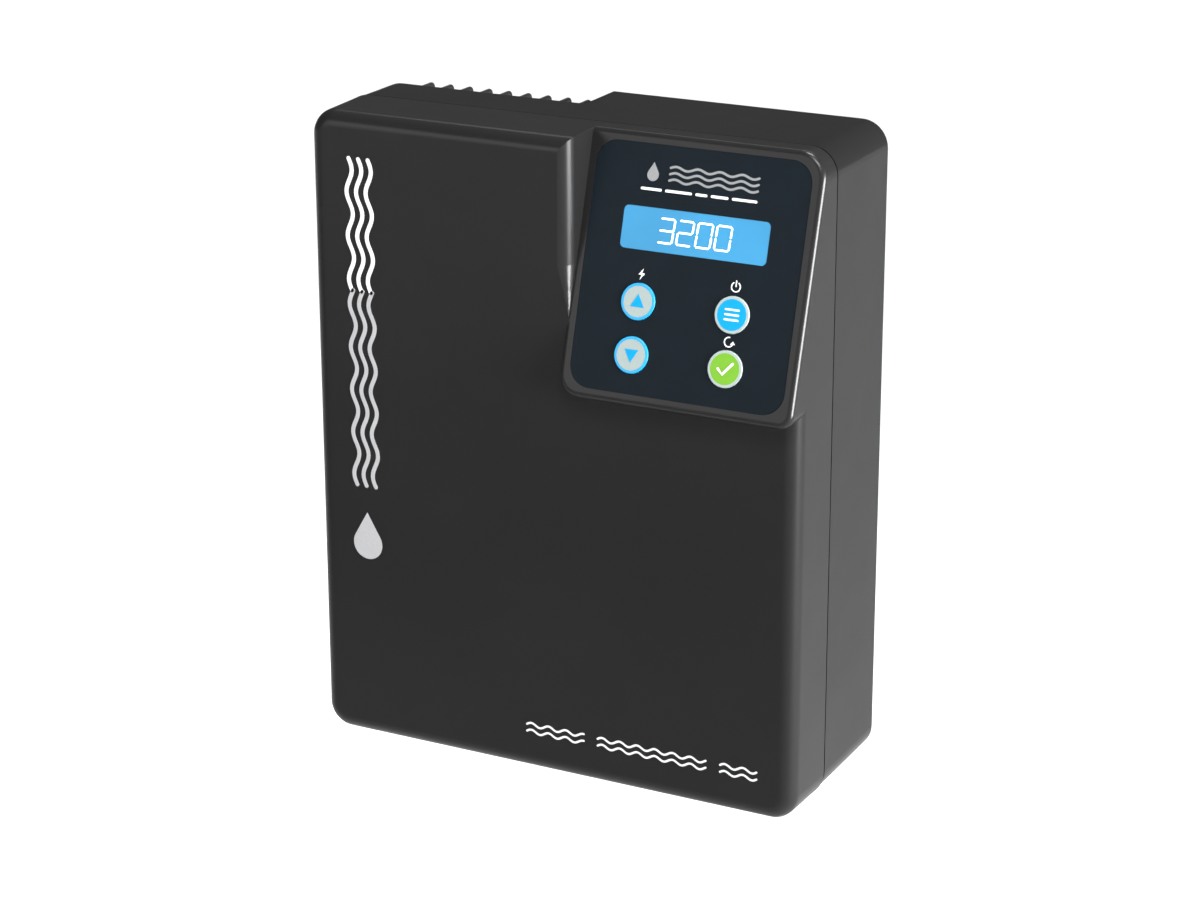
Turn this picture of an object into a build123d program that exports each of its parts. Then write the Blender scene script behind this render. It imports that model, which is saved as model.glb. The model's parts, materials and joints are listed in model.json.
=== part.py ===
from build123d import *
import os
from math import cos, radians, sin, tan

# Salt chlorine generator: a wall-hung control box for a pool salt cell.
# Millimetres. +X right, +Y into the wall, +Z up; the origin is the centre of the wall bolt pattern.

# Box
WIDTH = 274.0
HEIGHT = 340.0
CORNER_R = 14.3
WALL = 3.0
WALL_GAP = 8.0            # from the wall to the deep bay's back
DEEP_DEPTH = 104.5        # main front face to the deep bay's back
SHALLOW_DEPTH = 72.0      # main front face to the shallow bay's back
COVER_DEPTH = 38.0
COVER_DRAFT = 1.5         # degrees
FRONT_EDGE_R = 8.0
BACK_EDGE_R = 1.5
STEP_X = -15.4            # where the deep bay starts
SEAM_GAP = 2.0
SEAM_LIP_INSET = 0.5      # the gasket shows this far inside the housing's outline
SEAM_STEP = 0.4           # the housing is this much smaller than the cover all round
RIM = 10.0

BACK_Y = -WALL_GAP
FRONT_Y = BACK_Y - DEEP_DEPTH
SHALLOW_Y = FRONT_Y + SHALLOW_DEPTH
SEAM_Y = FRONT_Y + COVER_DEPTH
HOUSING_Y = SEAM_Y + SEAM_GAP
TOP_Z = HEIGHT / 2
SIDE_X = WIDTH / 2
HOUSING_W = WIDTH - 2 * SEAM_STEP
HOUSING_H = HEIGHT - 2 * SEAM_STEP
HOUSING_R = CORNER_R - SEAM_STEP
BOTTOM_Z = -HOUSING_H / 2
FLOOR_Z = BOTTOM_Z + WALL
COVER_RIM_Y = SEAM_Y - 3.5
HOUSING_RIM_Y = HOUSING_Y + 4.0

# Sloping control bezel on the cover
TILT = 16.44
BEZEL_LEFT = 10.0
NOTCH_X = 12.0            # wall between the main face and the bezel
BEZEL_TOP_Y = FRONT_Y + 27.4
BEZEL_LENGTH = 134.0      # down the slope
BEZEL_EDGE_R = 3.0
NOTCH_EDGE_R = 8.2        # main face beside the bezel
BEZEL_CX = 73.1
OVERLAY_W = 114.6
OVERLAY_L = 122.3
OVERLAY_TOP = 5.2         # down the slope from the top edge
OVERLAY_R = 11.5
OVERLAY_RECESS = 0.8
OVERLAY_T = 0.6
WINDOW_W = 78.0
WINDOW_L = 21.0
WINDOW_MID = 46.5
WINDOW_R = 2.5
KEY_R = 9.1
KEY_CLEARANCE = 0.25
KEY_TRAVEL = 0.7
KEY_DX = 25.15
KEY_UPPER = 82.2
KEY_LOWER = 108.4
BOARD_DEPTH = 9.4         # bezel face to the control board's face
BOARD_T = 1.6
BOARD_W = 106.0
BOARD_TOP = 20.0
BOARD_END = 120.0

# Fastening of the cover
COVER_POSTS = [(124, 157), (124, 0), (124, -157), (-2, 157), (-2, -157), (-124, -157)]
COVER_SCREW_SEAT = -66.0
COVER_SCREW_TIP = -83.5
COVER_TABS_Z = (120, 20)

# Heatsink
FIN_COUNT = 9
FIN_PITCH = 11.68
FIN_T = 2.5
SINK_X = -75.35
SINK_W = 104.0
SINK_TOP = TOP_Z - 5.5
SINK_LENGTH = 240.0
SINK_Z = SINK_TOP - SINK_LENGTH / 2
SINK_GASKET_T = 1.0
SINK_BASE_T = 5.0
SINK_WINDOW = (80.0, 190.0)
SINK_SCREWS = [(SINK_X + dx, SINK_Z + dz) for dx in (-46, 46) for dz in (-100, 0, 100)]
SINK_FACE_Y = SHALLOW_Y + SINK_GASKET_T
FIN_TIP_Y = FRONT_Y + 102.5
FIN_CORNER_R = 3.0

# Wall bracket
BRACKET_T = 2.5
BRACKET_W = 224.0
BRACKET_H = 248.0
BOLT_DX = 200.0
BOLT_DZ = 220.0
BOLT_HOLE_R = 2.75
HOOKS_X = (15.0, 95.0)
HOOK_W = 18.0
HOOK_Z = 107.5
BUMPERS = [(15.0, -100.0), (95.0, -100.0)]
BUMPER_R = 7.0
LOCK_SCREW = (60.0, -22.0)

# Underside
MAINS_GLAND = (22.0, -42.0)
CELL_GLAND = (98.0, -42.0)
MAINS_BORE_R = 4.0
CELL_BORE_R = 5.0
BREAKER = (60.0, -50.0)
BREAKER_TRAVEL = 3.0
BOND_STUD = (-60.0, -58.0)

# Power board and transformer, in the deep bay
POWER_BOARD = (0.0, 112.0, 5.0, 150.0)
POWER_BOARD_Y = BACK_Y - WALL - 10.0
POWER_FACE_Y = POWER_BOARD_Y - BOARD_T
POWER_SCREWS = [(6, 12), (106, 12), (6, 143), (106, 143)]
TOROID = (60.0, -78.0)
TOROID_R = 58.0
TOROID_HOLE_R = 17.0
TOROID_H = 46.0
TOROID_BACK_Y = BACK_Y - WALL - 5.0
RECTIFIERS_Z = (90.0, 30.0)
RECTIFIER = 28.6
RECTIFIER_T = 10.0

MIDDLE = (Align.CENTER, Align.CENTER, Align.CENTER)
RISING = (Align.CENTER, Align.CENTER, Align.MIN)

# The bezel's own frame: x right, y up the slope, z out of its face; origin at its top edge.
BEZEL = Plane(
    origin=(BEZEL_CX, BEZEL_TOP_Y, TOP_Z),
    x_dir=(1, 0, 0),
    z_dir=(0, -cos(radians(TILT)), sin(radians(TILT))),
)


def box(x0, x1, y0, y1, z0, z1):
    """Block between two corners."""
    size = (x1 - x0, y1 - y0, z1 - z0)
    return Pos((x0 + x1) / 2, (y0 + y1) / 2, (z0 + z1) / 2) * Box(*size, align=MIDDLE)


def rod(x, y, z, direction, radius, length):
    """Cylinder from a point along a direction."""
    return Plane(origin=(x, y, z), z_dir=direction) * Cylinder(radius, length, align=RISING)


def hexagon(x, y, z, direction, across_flats, length):
    """Hexagonal prism from a point along a direction."""
    outline = RegularPolygon(across_flats / 2, 6, major_radius=False)
    return Plane(origin=(x, y, z), z_dir=direction) * extrude(outline, length)


def upright(width, height, radius, back, front, cx=0.0, cz=0.0, taper=0.0):
    """Rounded rectangle, standing in X and Z, from a back depth to a front depth."""
    base = Plane(origin=(cx, back, cz), x_dir=(1, 0, 0), z_dir=(0, -1, 0))
    return extrude(base * RectangleRounded(width, height, radius), back - front, taper=taper)


def side_profile(points, x0, x1):
    """Prism along X of an outline given as (y, z) points."""
    outline = Polyline([(x0, y, z) for y, z in points], close=True)
    return extrude(make_face(outline), x1 - x0, dir=(1, 0, 0))


def on_bezel(shape, x, down, depth):
    """Places a shape by its x, its distance down the slope and its depth behind the face."""
    return BEZEL * (Pos(x - BEZEL_CX, -down, -depth) * shape)


def bezel_plate(width, length, radius, middle_down, front_depth, back_depth, x=BEZEL_CX):
    """Rounded plate parallel to the bezel's face, between two depths."""
    plate = extrude(RectangleRounded(width, length, radius), back_depth - front_depth)
    return on_bezel(plate, x, middle_down, back_depth)


def bezel_rod(x, down, radius, front_depth, back_depth):
    """Cylinder square to the bezel's face, between two depths."""
    return on_bezel(Cylinder(radius, back_depth - front_depth, align=RISING), x, down, back_depth)


def bezel_point(x, down, depth):
    """A point in the object's frame from its place on the bezel."""
    return BEZEL.from_local_coords(Vector(x - BEZEL_CX, -down, -depth))


def lead(points, radius):
    """Round wire along straight runs joined by arcs as large as the runs allow."""
    spots = [Vector(*p) for p in points]
    radii = []
    for before, at, after in zip(spots, spots[1:], spots[2:]):
        turn = (at - before).get_angle(after - at)
        shorter = min((at - before).length, (after - at).length)
        radii.append(0.45 * shorter / tan(radians(turn) / 2))
    path = FilletPolyline(*spots, radius=radii)
    start = Plane(origin=spots[0], z_dir=(spots[1] - spots[0]).normalized())
    wire = sweep(start * Circle(radius), path=path)
    section = 3.14159265 * radius**2
    print("lead radii", [round(r, 1) for r in radii], "volume ratio",
          round(wire.volume / (section * path.length), 4))
    return wire


KEYS = {
    "up": (BEZEL_CX - KEY_DX, KEY_UPPER),
    "down": (BEZEL_CX - KEY_DX, KEY_LOWER),
    "menu": (BEZEL_CX + KEY_DX, KEY_UPPER),
    "ok": (BEZEL_CX + KEY_DX, KEY_LOWER),
}
BOARD_SCREWS = [(BEZEL_CX + dx, down) for dx in (-49, 49) for down in (24, 116)]


# Front cover

def cover_outline(inset, back, front):
    """The cover's drafted outline, drawn in by inset, between two depths."""
    draft = (SEAM_Y - back) * tan(radians(COVER_DRAFT))
    shrink = 2 * (inset + draft)
    radius = max(CORNER_R - inset - draft, 2.0)
    return upright(WIDTH - shrink, HEIGHT - shrink, radius, back, front, taper=COVER_DRAFT)


def bezel_prism(inset, left, bottom):
    """Everything behind the bezel's face, drawn in by inset, over the block's X range."""
    slope = tan(radians(TILT))
    face_y = BEZEL_TOP_Y + inset / cos(radians(TILT))
    high = TOP_Z + 10
    points = [
        (SEAM_Y, bottom),
        (SEAM_Y, high),
        (face_y + 10 * slope, high),
        (face_y - (TOP_Z - bottom) * slope, bottom),
    ]
    return side_profile(points, left, SIDE_X + 5)


def bezel_block():
    """Sloping block, low at the top of the cover and proud at its lower end."""
    bottom = TOP_Z - BEZEL_LENGTH * cos(radians(TILT))
    reach = BEZEL_TOP_Y - BEZEL_LENGTH * sin(radians(TILT)) - 4
    block = cover_outline(0, SEAM_Y, reach) & bezel_prism(0, BEZEL_LEFT, bottom)
    depth_edges = [
        e for e in block.edges()
        if abs(e.center().Z - bottom) < 0.5 and abs(e.tangent_at(0.5).Y) > 0.9
    ]
    lower_left = min(depth_edges, key=lambda e: e.center().X)
    lower_right = max(depth_edges, key=lambda e: e.center().X)
    block = fillet(lower_left, 11)
    lower_right = [
        e for e in block.edges()
        if abs(e.center().Z - bottom) < 0.5 and abs(e.tangent_at(0.5).Y) > 0.9
        and e.center().X > BEZEL_CX
    ]
    block = fillet(lower_right, 7)
    face = min(block.faces(), key=lambda f: (f.normal_at() - BEZEL.z_dir).length)
    return fillet(face.edges(), BEZEL_EDGE_R)


def bezel_margin():
    """Square left margin of the bezel, as far forward as the main face, where the block sits below it."""
    bottom = TOP_Z - BEZEL_LENGTH * cos(radians(TILT))
    strip = cover_outline(0, SEAM_Y, FRONT_Y) & bezel_prism(0, BEZEL_LEFT, bottom + 12)
    strip &= box(BEZEL_LEFT, BEZEL_LEFT + BEZEL_EDGE_R + 1, FRONT_Y, SEAM_Y, bottom, TOP_Z + 1)
    crest = max(
        (e for e in strip.edges() if abs(e.tangent_at(0.5).X) > 0.9 and e.center().Z > TOP_Z - 5),
        key=lambda e: -e.center().Y,
    )
    return fillet(crest, BEZEL_EDGE_R)


def notch_round():
    """Rounding of the main face beside the bezel, fading out where the bezel's face comes level."""
    edge_x = NOTCH_X + 0.2
    edge_y = FRONT_Y - 0.2
    level_z = TOP_Z - (BEZEL_TOP_Y - FRONT_Y) / tan(radians(TILT))
    full_z = level_z + NOTCH_EDGE_R / tan(radians(TILT))

    def section(z, radius):
        """Square corner less its arc, lying level."""
        middle = 0.7071 * radius
        outline = [
            Line((edge_x - radius, edge_y, z), (edge_x, edge_y, z)),
            Line((edge_x, edge_y, z), (edge_x, edge_y + radius, z)),
            ThreePointArc(
                (edge_x, edge_y + radius, z),
                (edge_x - radius + middle, edge_y + radius - middle, z),
                (edge_x - radius, edge_y, z),
            ),
        ]
        return make_face(outline)

    upper = loft([section(full_z, NOTCH_EDGE_R), section(TOP_Z + 2, NOTCH_EDGE_R)], ruled=True)
    lower = loft([section(level_z + 2, 0.5), section(full_z, NOTCH_EDGE_R)], ruled=True)
    return upper + lower


def front_cover():
    slab = cover_outline(0, SEAM_Y, FRONT_Y)
    front = slab.faces().sort_by(Axis.Y)[0]
    slab = fillet(front.edges(), FRONT_EDGE_R)
    bottom = TOP_Z - BEZEL_LENGTH * cos(radians(TILT))
    notch_z = bottom + 18
    slab -= box(NOTCH_X, SIDE_X + 5, FRONT_Y - 5, SEAM_Y + 1, notch_z, TOP_Z + 5)
    slab -= notch_round()
    shell = slab + bezel_block() + bezel_margin()

    inner_front = FRONT_Y + WALL
    inner_notch = NOTCH_X - WALL - 1
    hollow = cover_outline(WALL, COVER_RIM_Y, inner_front)
    hollow = fillet(hollow.faces().sort_by(Axis.Y)[0].edges(), FRONT_EDGE_R - WALL)
    hollow -= box(inner_notch, SIDE_X + 5, FRONT_Y - 5, SEAM_Y + 1, notch_z, TOP_Z + 5)
    reach = BEZEL_TOP_Y - BEZEL_LENGTH * sin(radians(TILT)) - 4
    inner_left = NOTCH_X + WALL
    hollow += cover_outline(WALL, COVER_RIM_Y, reach) & bezel_prism(WALL, inner_left, bottom + WALL)
    behind = cover_outline(WALL, COVER_RIM_Y, inner_front)
    hollow += behind & bezel_prism(WALL, inner_notch - 1, bottom + WALL)
    mouth = upright(WIDTH - 2 * RIM, HEIGHT - 2 * RIM, 5, SEAM_Y, COVER_RIM_Y - 1)
    shell -= hollow + mouth

    for x, z in COVER_POSTS:
        depth = 12.0 if x > BEZEL_LEFT and z > notch_z else 22.0
        shell += rod(x, SEAM_Y, z, (0, -1, 0), 5, depth)
        shell -= rod(x, SEAM_Y + 1, z, (0, -1, 0), 1.7, SEAM_Y + 1 - COVER_SCREW_TIP + 0.6)
    for x, down in BOARD_SCREWS:
        shell += bezel_rod(x, down, 3.5, WALL - 0.5, BOARD_DEPTH)
        shell -= bezel_rod(x, down, 1.5, WALL, BOARD_DEPTH + 1)
    middle = OVERLAY_TOP + OVERLAY_L / 2
    recess = bezel_plate(OVERLAY_W + 0.3, OVERLAY_L + 0.3, OVERLAY_R, middle, -2, OVERLAY_RECESS)
    window = bezel_plate(WINDOW_W + 0.3, WINDOW_L + 0.3, WINDOW_R, WINDOW_MID, -2, WALL + 1)
    shell -= recess + window
    for x, down in KEYS.values():
        shell -= bezel_rod(x, down, KEY_R + KEY_CLEARANCE, -2, WALL + 1)

    left = -WIDTH / 2 + RIM
    for z in COVER_TABS_Z:
        shell += box(left - 3, left + 4, COVER_RIM_Y - 3, COVER_RIM_Y + 1, z - 12, z + 12)
        shell += box(left + 1, left + 4, COVER_RIM_Y - 3, HOUSING_RIM_Y + 2.5, z - 12, z + 12)
        shell += box(left - 4, left + 4, HOUSING_RIM_Y + 0.3, HOUSING_RIM_Y + 2.5, z - 12, z + 12)
    return shell


# Rear housing

def housing_outline(inset, back, front):
    width = HOUSING_W - 2 * inset
    height = HOUSING_H - 2 * inset
    return upright(width, height, max(HOUSING_R - inset, 2.0), back, front)


def gasket_ring(width, back, front):
    """Ring of the given width centred on the gasket's line in the housing's rim."""
    line = 5.0
    outer = housing_outline(line - width / 2, back, front)
    return outer - housing_outline(line + width / 2, back + 1, front - 1)


def rear_housing():
    shallow = housing_outline(0, SHALLOW_Y, HOUSING_Y)
    shallow = fillet(shallow.faces().sort_by(Axis.Y)[-1].edges(), BACK_EDGE_R)
    deep_side = box(STEP_X, SIDE_X + 5, HOUSING_Y - 1, BACK_Y + 1, -TOP_Z - 5, TOP_Z + 5)
    deep = housing_outline(0, BACK_Y, HOUSING_Y) & deep_side
    deep = fillet(deep.faces().sort_by(Axis.Y)[-1].edges(), BACK_EDGE_R)
    shell = shallow + deep

    inner_side = box(STEP_X + WALL, SIDE_X + 5, HOUSING_Y - 1, BACK_Y, -TOP_Z, TOP_Z)
    hollow = housing_outline(WALL, SHALLOW_Y - WALL, HOUSING_RIM_Y)
    hollow += housing_outline(WALL, BACK_Y - WALL, HOUSING_RIM_Y) & inner_side
    mouth = housing_outline(RIM, HOUSING_RIM_Y + 1, HOUSING_Y - 1)
    shell -= hollow + mouth

    inner_back = BACK_Y - WALL
    for x, z in COVER_POSTS:
        back = SHALLOW_Y if x < STEP_X else BACK_Y
        shell += rod(x, HOUSING_Y, z, (0, 1, 0), 5.5, back - HOUSING_Y - 1)
        shell -= rod(x, COVER_SCREW_SEAT, z, (0, 1, 0), 4.3, back - COVER_SCREW_SEAT + 1)
        shell -= rod(x, HOUSING_Y - 1, z, (0, 1, 0), 2.1, COVER_SCREW_SEAT - HOUSING_Y + 2)
    shell -= gasket_ring(3.2, HOUSING_Y + 2, HOUSING_Y - 1)

    for x in HOOKS_X:
        shell += box(x - 13, x + 13, inner_back - 7.5, inner_back + 1, 91, 121)
        shell -= box(x - 10, x + 10, inner_back - 5.5, BACK_Y + 1, 93.5, HOOK_Z + 0.1)
        shell -= box(x - 10, x + 10, inner_back - 5.5, inner_back, 93.5, 119)
    for x, z in POWER_SCREWS:
        shell += rod(x, inner_back + 1, z, (0, -1, 0), 4, inner_back + 1 - POWER_BOARD_Y)
        shell -= rod(x, POWER_BOARD_Y - 1, z, (0, 1, 0), 1.5, 9)
    toroid_x, toroid_z = TOROID
    pad_y = TOROID_BACK_Y + 2
    shell += rod(toroid_x, inner_back + 1, toroid_z, (0, -1, 0), 14, inner_back + 1 - pad_y)
    shell -= rod(toroid_x, pad_y - 1, toroid_z, (0, 1, 0), 4.1, inner_back - pad_y + 1.5)

    cut_w, cut_h = SINK_WINDOW
    shell -= upright(cut_w, cut_h, 4, SHALLOW_Y + 1, SHALLOW_Y - WALL - 1, SINK_X, SINK_Z)
    for x, z in SINK_SCREWS:
        shell -= rod(x, SHALLOW_Y - WALL - 1, z, (0, 1, 0), 2.2, WALL + 2)

    for x, y in (MAINS_GLAND, CELL_GLAND):
        shell -= rod(x, y, BOTTOM_Z - 1, (0, 0, 1), 9.5, WALL + 2)
    shell -= rod(*BREAKER, BOTTOM_Z - 1, (0, 0, 1), 5.7, WALL + 2)
    shell -= rod(*BOND_STUD, BOTTOM_Z - 1, (0, 0, 1), 2.6, WALL + 2)
    shell += rod(*LOCK_SCREW, FLOOR_Z - 1, (0, 0, 1), 5, 9)
    shell -= rod(*LOCK_SCREW, BOTTOM_Z - 1, (0, 0, 1), 1.8, 11)
    return shell


def cover_gasket():
    """Seal in the housing's groove, with a flat lip that fills the seam out to its edge."""
    lip = housing_outline(SEAM_LIP_INSET, HOUSING_Y, SEAM_Y)
    lip -= housing_outline(6.5, HOUSING_Y + 1, SEAM_Y - 1)
    return gasket_ring(3.0, HOUSING_Y + 2, SEAM_Y) + lip


def pan_screw(x, y, z, direction, shank_r, length, head_r, head_t):
    """Screw whose shank starts at a seat and runs along a direction, head on the other side."""
    back = Vector(*direction) * -head_t
    head = rod(x + back.X, y + back.Y, z + back.Z, direction, head_r, head_t)
    edge = head.faces().sort_by(Axis((0, 0, 0), direction))[0].edges()
    head = fillet(edge, head_t * 0.35)
    socket = rod(x + back.X, y + back.Y, z + back.Z, direction, head_r * 0.4, head_t * 0.5)
    return head + rod(x, y, z, direction, shank_r, length) - socket


def cover_screws():
    seat = COVER_SCREW_SEAT + 1
    length = seat - COVER_SCREW_TIP
    return [pan_screw(x, seat, z, (0, -1, 0), 1.6, length, 3.75, 3) for x, z in COVER_POSTS]


def cover_screw_seals():
    """Rubber washers under the cover screws' heads."""
    return [
        rod(x, COVER_SCREW_SEAT, z, (0, 1, 0), 4, 1) - rod(x, COVER_SCREW_SEAT - 1, z, (0, 1, 0), 1.9, 3)
        for x, z in COVER_POSTS
    ]


# Heatsink

def heatsink():
    bottom = SINK_TOP - SINK_LENGTH
    base_back = SINK_FACE_Y + SINK_BASE_T
    left = SINK_X - SINK_W / 2
    sink = box(left, left + SINK_W, SINK_FACE_Y, base_back, bottom, SINK_TOP)
    for i in range(FIN_COUNT):
        x = SINK_X + (i - (FIN_COUNT - 1) / 2) * FIN_PITCH
        fin = box(x - FIN_T / 2, x + FIN_T / 2, base_back - 1, FIN_TIP_Y, bottom, SINK_TOP)
        back_edges = [e for e in fin.edges() if abs(e.center().Y - FIN_TIP_Y) < 0.01]
        fin = fillet([e for e in back_edges if abs(e.tangent_at(0.5).X) > 0.9], FIN_CORNER_R)
        back_edges = [e for e in fin.edges() if abs(e.center().Y - FIN_TIP_Y) < 0.01]
        sink += fillet([e for e in back_edges if abs(e.tangent_at(0.5).Z) > 0.9], FIN_T * 0.45)
    for x, z in SINK_SCREWS:
        sink -= rod(x, SINK_FACE_Y - 1, z, (0, 1, 0), 1.8, 5)
    for z in RECTIFIERS_Z:
        sink -= rod(SINK_X, SINK_FACE_Y - 1, z, (0, 1, 0), 2.2, 5)
    return sink


def heatsink_gasket():
    ring = upright(100, 232, 6, SINK_FACE_Y, SHALLOW_Y, SINK_X, SINK_Z)
    ring -= upright(84, 194, 4, SINK_FACE_Y + 1, SHALLOW_Y - 1, SINK_X, SINK_Z)
    for x, z in SINK_SCREWS:
        ring -= rod(x, SHALLOW_Y - 1, z, (0, 1, 0), 2.2, 4)
    return ring


def heatsink_screws():
    seat = SHALLOW_Y - WALL
    return [pan_screw(x, seat, z, (0, 1, 0), 1.6, 7.3, 3.75, 3) for x, z in SINK_SCREWS]


def bridge_rectifiers():
    bodies = []
    for z in RECTIFIERS_Z:
        body = upright(RECTIFIER, RECTIFIER, 2, SINK_FACE_Y, SINK_FACE_Y - RECTIFIER_T, SINK_X, z)
        body -= rod(SINK_X, SINK_FACE_Y + 1, z, (0, -1, 0), 2.3, RECTIFIER_T + 2)
        front = SINK_FACE_Y - RECTIFIER_T
        for dx in (-9, 9):
            for dz in (-9, 9):
                x = SINK_X + dx
                body += box(x - 3.15, x + 3.15, front - 8, front, z + dz - 0.4, z + dz + 0.4)
        bodies.append(body)
    return bodies


def rectifier_screws():
    seat = SINK_FACE_Y - RECTIFIER_T
    return [pan_screw(SINK_X, seat, z, (0, 1, 0), 2.0, RECTIFIER_T + 3.5, 3.9, 3) for z in RECTIFIERS_Z]


# Wall bracket

def wall_bracket():
    plate = upright(BRACKET_W, BRACKET_H, 6, 0, -BRACKET_T)
    for dx in (-1, 1):
        for dz in (-1, 1):
            plate -= rod(dx * BOLT_DX / 2, 1, dz * BOLT_DZ / 2, (0, -1, 0), BOLT_HOLE_R, BRACKET_T + 2)
    arm_end = BACK_Y - WALL - 4.0
    for x in HOOKS_X:
        low = x - HOOK_W / 2
        high = x + HOOK_W / 2
        plate += box(low, high, arm_end, -1, HOOK_Z - BRACKET_T, HOOK_Z)
        plate += box(low, high, arm_end, arm_end + BRACKET_T, HOOK_Z - BRACKET_T, HOOK_Z + 10)
    x, y = LOCK_SCREW
    foot = BOTTOM_Z - BRACKET_T
    plate += box(x - 14, x + 14, -BRACKET_T, 0, foot, -BRACKET_H / 2 + 5)
    plate += box(x - 14, x + 14, y - 10, 0, foot, BOTTOM_Z)
    plate -= rod(x, y, foot - 1, (0, 0, 1), 2.4, BRACKET_T + 2)
    return plate


def locking_screw():
    x, y = LOCK_SCREW
    return pan_screw(x, y, BOTTOM_Z - BRACKET_T, (0, 0, 1), 1.7, 10, 4, 3)


def wall_bumpers():
    """Rubber stops that keep the housing's lower end off the bracket."""
    return [rod(x, BACK_Y, z, (0, 1, 0), BUMPER_R, WALL_GAP - BRACKET_T) for x, z in BUMPERS]


# Keypad, display and control board

def keypad_overlay():
    middle = OVERLAY_TOP + OVERLAY_L / 2
    front = OVERLAY_RECESS - OVERLAY_T
    sheet = bezel_plate(OVERLAY_W, OVERLAY_L, OVERLAY_R, middle, front, OVERLAY_RECESS)
    sheet -= bezel_plate(WINDOW_W + 0.3, WINDOW_L + 0.3, WINDOW_R, WINDOW_MID, -1, 2)
    for x, down in KEYS.values():
        sheet -= bezel_rod(x, down, KEY_R + KEY_CLEARANCE, -1, 2)
    return sheet


def display_lens():
    lens = bezel_plate(WINDOW_W, WINDOW_L, WINDOW_R, WINDOW_MID, 0.3, WALL + 0.5)
    return lens + bezel_plate(WINDOW_W + 5, WINDOW_L + 5, WINDOW_R, WINDOW_MID, WALL, WALL + 1)


def display_glass():
    return bezel_plate(WINDOW_W + 2, WINDOW_L + 9, 0.5, WINDOW_MID, WALL + 1, WALL + 3.2)


def display_backlight():
    return bezel_plate(WINDOW_W + 2, WINDOW_L + 9, 0.5, WINDOW_MID, WALL + 3.2, BOARD_DEPTH)


def display_frame():
    outer = bezel_plate(WINDOW_W + 8, WINDOW_L + 15, 1, WINDOW_MID, WALL + 1, BOARD_DEPTH)
    return outer - bezel_plate(WINDOW_W + 2.4, WINDOW_L + 9.4, 0.5, WINDOW_MID, WALL, BOARD_DEPTH + 1)


def control_board():
    length = BOARD_END - BOARD_TOP
    middle = (BOARD_TOP + BOARD_END) / 2
    board = bezel_plate(BOARD_W, length, 2, middle, BOARD_DEPTH, BOARD_DEPTH + BOARD_T)
    for x, down in BOARD_SCREWS:
        board -= bezel_rod(x, down, 1.7, BOARD_DEPTH - 1, BOARD_DEPTH + BOARD_T + 1)
    return board


def control_board_screws():
    seat = BOARD_DEPTH + BOARD_T
    screws = []
    for x, down in BOARD_SCREWS:
        screw = Cylinder(2.8, 2.2, align=RISING)
        screw = fillet(screw.faces().sort_by(Axis.Z)[0].edges(), 0.7)
        screw += Pos(0, 0, 2.2) * Cylinder(1.4, 7, align=RISING)
        screws.append(on_bezel(screw, x, down, seat + 2.2))
    return screws


def control_chips():
    """Controller and driver packages on the control board's back."""
    back = BOARD_DEPTH + BOARD_T
    places = [(BEZEL_CX - 8, 92, 14, 14), (BEZEL_CX + 18, 92, 10, 8), (BEZEL_CX - 30, 60, 8, 10)]
    return [bezel_plate(w, l, 0.5, down, back, back + 1.6, x) for x, down, w, l in places]


def key(name):
    """Round key with a retaining flange behind the bezel's wall."""
    x, down = KEYS[name]
    cap = bezel_rod(x, down, KEY_R, -0.5, WALL + 0.05)
    rim = cap.faces().sort_by(Axis((0, 0, 0), tuple(BEZEL.z_dir)))[-1].edges()
    cap = fillet(rim, 0.35)
    return cap + bezel_rod(x, down, KEY_R + 1.4, WALL + 0.05, WALL + 1.05)


def switch_plunger(name):
    x, down = KEYS[name]
    return bezel_rod(x, down, 1.75, WALL + 1.05, BOARD_DEPTH - 2.3)


def switch_bodies():
    bodies = []
    for x, down in KEYS.values():
        body = bezel_plate(6.2, 6.2, 0.5, down, BOARD_DEPTH - 3.5, BOARD_DEPTH, x)
        bodies.append(body - bezel_rod(x, down, 1.85, BOARD_DEPTH - 4, BOARD_DEPTH - 1.4))
    return bodies


RIBBON_X = 85.0
RIBBON_W = 20.0
RIBBON_T = 1.0
RIBBON_DOWN = 100.0
RIBBON_Z = 62.0
CONNECTOR_T = 8.0


def ribbon_connectors():
    back = BOARD_DEPTH + BOARD_T
    upper = bezel_plate(RIBBON_W + 4, 8, 0.5, RIBBON_DOWN, back, back + CONNECTOR_T, RIBBON_X)
    front = POWER_FACE_Y - CONNECTOR_T
    lower = upright(RIBBON_W + 4, 8, 0.5, POWER_FACE_Y, front, RIBBON_X, RIBBON_Z)
    return [upper, lower]


def ribbon_cable():
    """Flat cable between the boards, in a slack curve."""
    back = BOARD_DEPTH + BOARD_T + CONNECTOR_T
    start = bezel_point(RIBBON_X, RIBBON_DOWN, back)
    inward = BEZEL.z_dir * -16
    end = Vector(RIBBON_X, POWER_FACE_Y - CONNECTOR_T, RIBBON_Z)
    spots = [start, start + inward, end + Vector(0, -16, 0), end]
    turns = [(b - a).get_angle(c - b) for a, b, c in zip(spots, spots[1:], spots[2:])]
    radii = [0.45 * 16 / tan(radians(turn) / 2) for turn in turns]
    line = FilletPolyline(*spots, radius=radii)
    side = Plane(origin=(RIBBON_X, 0, 0), x_dir=(0, 1, 0), z_dir=(1, 0, 0))
    strip = trace(side.to_local_coords(line), RIBBON_T)
    cable = extrude(side * strip, RIBBON_W / 2, both=True)
    print("ribbon radii", [round(r, 1) for r in radii], "volume ratio",
          round(cable.volume / (RIBBON_T * RIBBON_W * line.length), 4))
    return cable


# Power board

def power_board():
    x0, x1, z0, z1 = POWER_BOARD
    board = box(x0, x1, POWER_FACE_Y, POWER_BOARD_Y, z0, z1)
    for x, z in POWER_SCREWS:
        board -= rod(x, POWER_FACE_Y - 1, z, (0, 1, 0), 1.7, BOARD_T + 2)
    return board


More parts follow.
